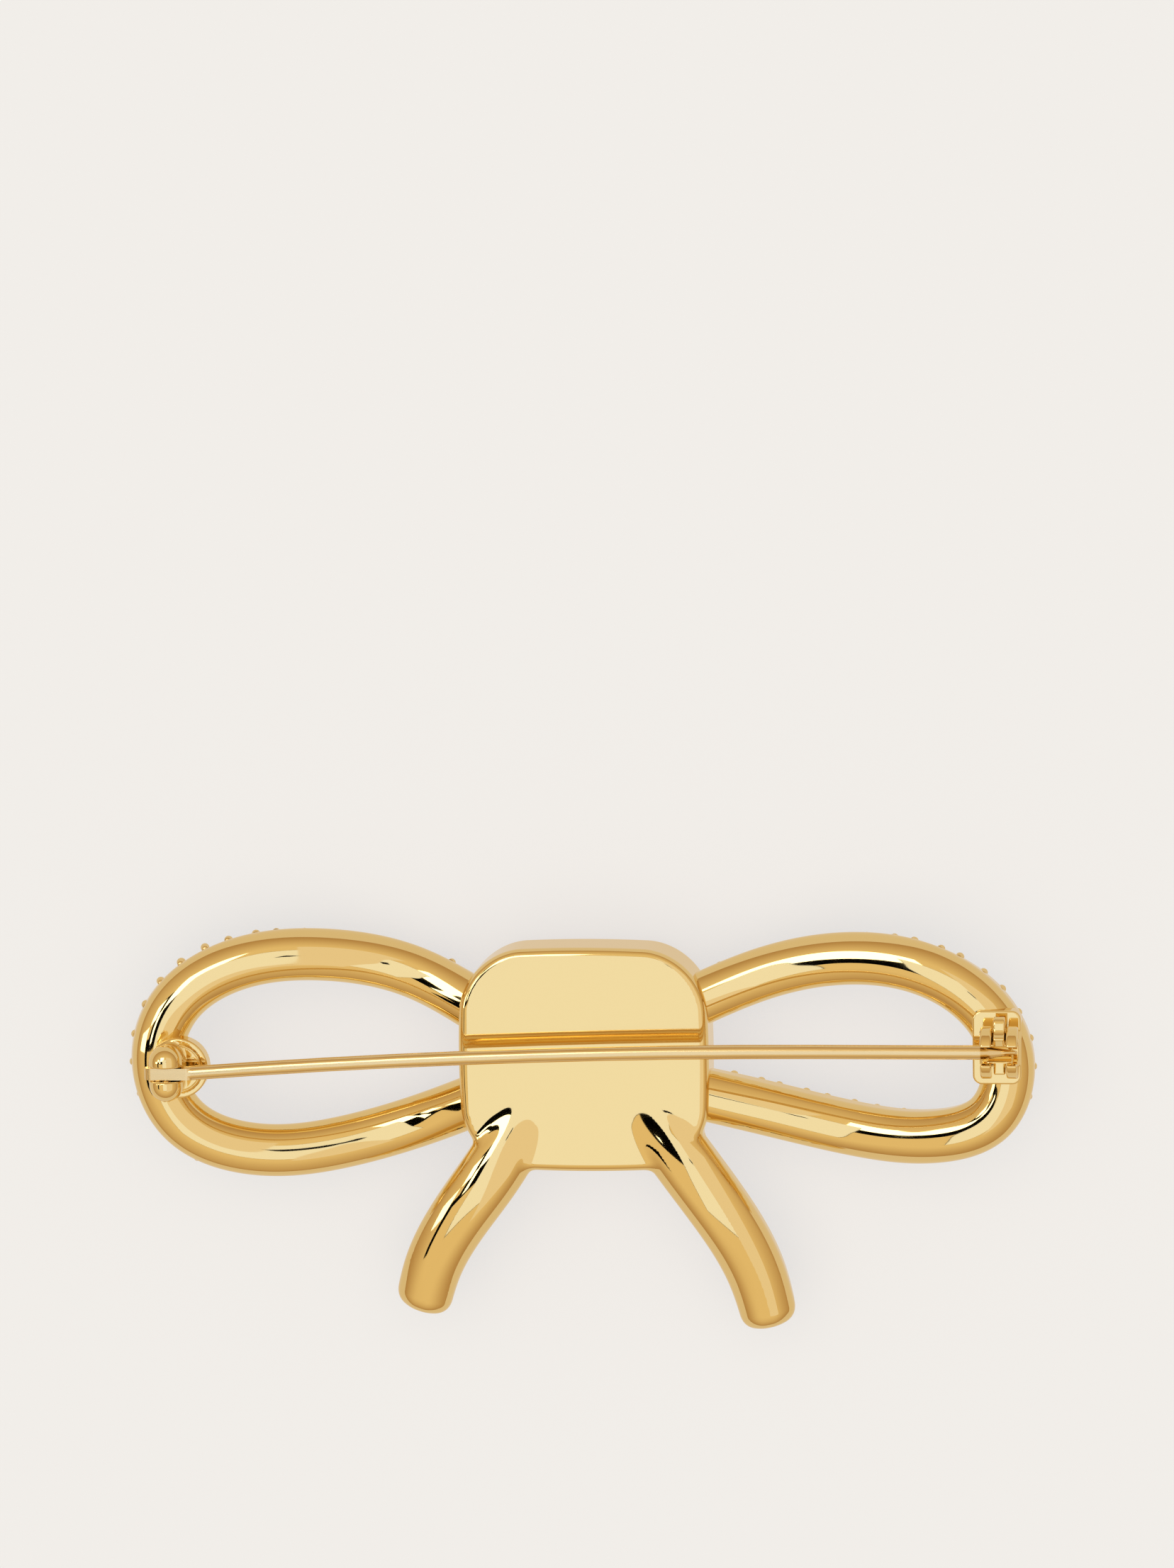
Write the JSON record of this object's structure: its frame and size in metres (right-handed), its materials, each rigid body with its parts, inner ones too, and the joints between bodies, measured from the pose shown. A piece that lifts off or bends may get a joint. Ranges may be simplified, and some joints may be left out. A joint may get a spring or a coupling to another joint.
{
  "type": "ribbon bow brooch",
  "caption": "Polished gold-tone ribbon bow brooch with a row of round stones on its front, a hinged pin stem and a turning safety catch on its back.",
  "frame": {"origin": "middle of the flat front face of the knot, on which the brooch lies", "axes": "+Z out of the brooch's back, +X along the pin from its joint to the catch, +Y away from the two tails"},
  "size_m": [0.0707, 0.0316, 0.0125],
  "materials": {
    "polished_gold": "mirror-polished gold plating on cast brass",
    "pin_gold": "drawn wire, gold plated, slightly satin",
    "catch_gold": "polished gold plating, machined",
    "crystal": "clear cut crystal, polished facets"
  },
  "bodies": {
    "bow": {"bow_frame": "polished_gold", "joint_rivet": "catch_gold", "loop_left_stone_01": "crystal", "loop_left_stone_02": "crystal", "loop_left_stone_03": "crystal", "loop_left_stone_04": "crystal", "loop_left_stone_05": "crystal", "loop_left_stone_06": "crystal", "loop_left_stone_07": "crystal", "loop_left_stone_08": "crystal", "loop_left_stone_09": "crystal", "loop_left_stone_10": "crystal", "loop_left_stone_11": "crystal", "loop_left_stone_12": "crystal", "loop_left_stone_13": "crystal", "loop_left_stone_14": "crystal", "loop_left_stone_15": "crystal", "loop_right_stone_01": "crystal", "loop_right_stone_02": "crystal", "loop_right_stone_03": "crystal", "loop_right_stone_04": "crystal", "loop_right_stone_05": "crystal", "loop_right_stone_06": "crystal", "loop_right_stone_07": "crystal", "loop_right_stone_08": "crystal", "loop_right_stone_09": "crystal", "loop_right_stone_10": "crystal", "loop_right_stone_11": "crystal", "loop_right_stone_12": "crystal", "loop_right_stone_13": "crystal", "loop_right_stone_14": "crystal", "loop_right_stone_15": "crystal", "tail_left_stone_01": "crystal", "tail_left_stone_02": "crystal", "tail_left_stone_03": "crystal", "tail_right_stone_01": "crystal", "tail_right_stone_02": "crystal", "tail_right_stone_03": "crystal"},
    "pin": {"pin_stem": "pin_gold"},
    "lever": {"catch_lever": "catch_gold"}
  },
  "joints": [
    {"name": "pin_hinge", "type": "hinge", "parent": "bow", "child": "pin", "pos_m": [-0.0319, -0.0004, 0.0106], "axis": [0, -1, 0], "range_deg": [0, 80]},
    {"name": "catch_turn", "type": "hinge", "parent": "bow", "child": "lever", "pos_m": [0.03225, 0.00145, 0.0106], "axis": [1, 0, 0], "range_deg": [0, 70]}
  ]
}
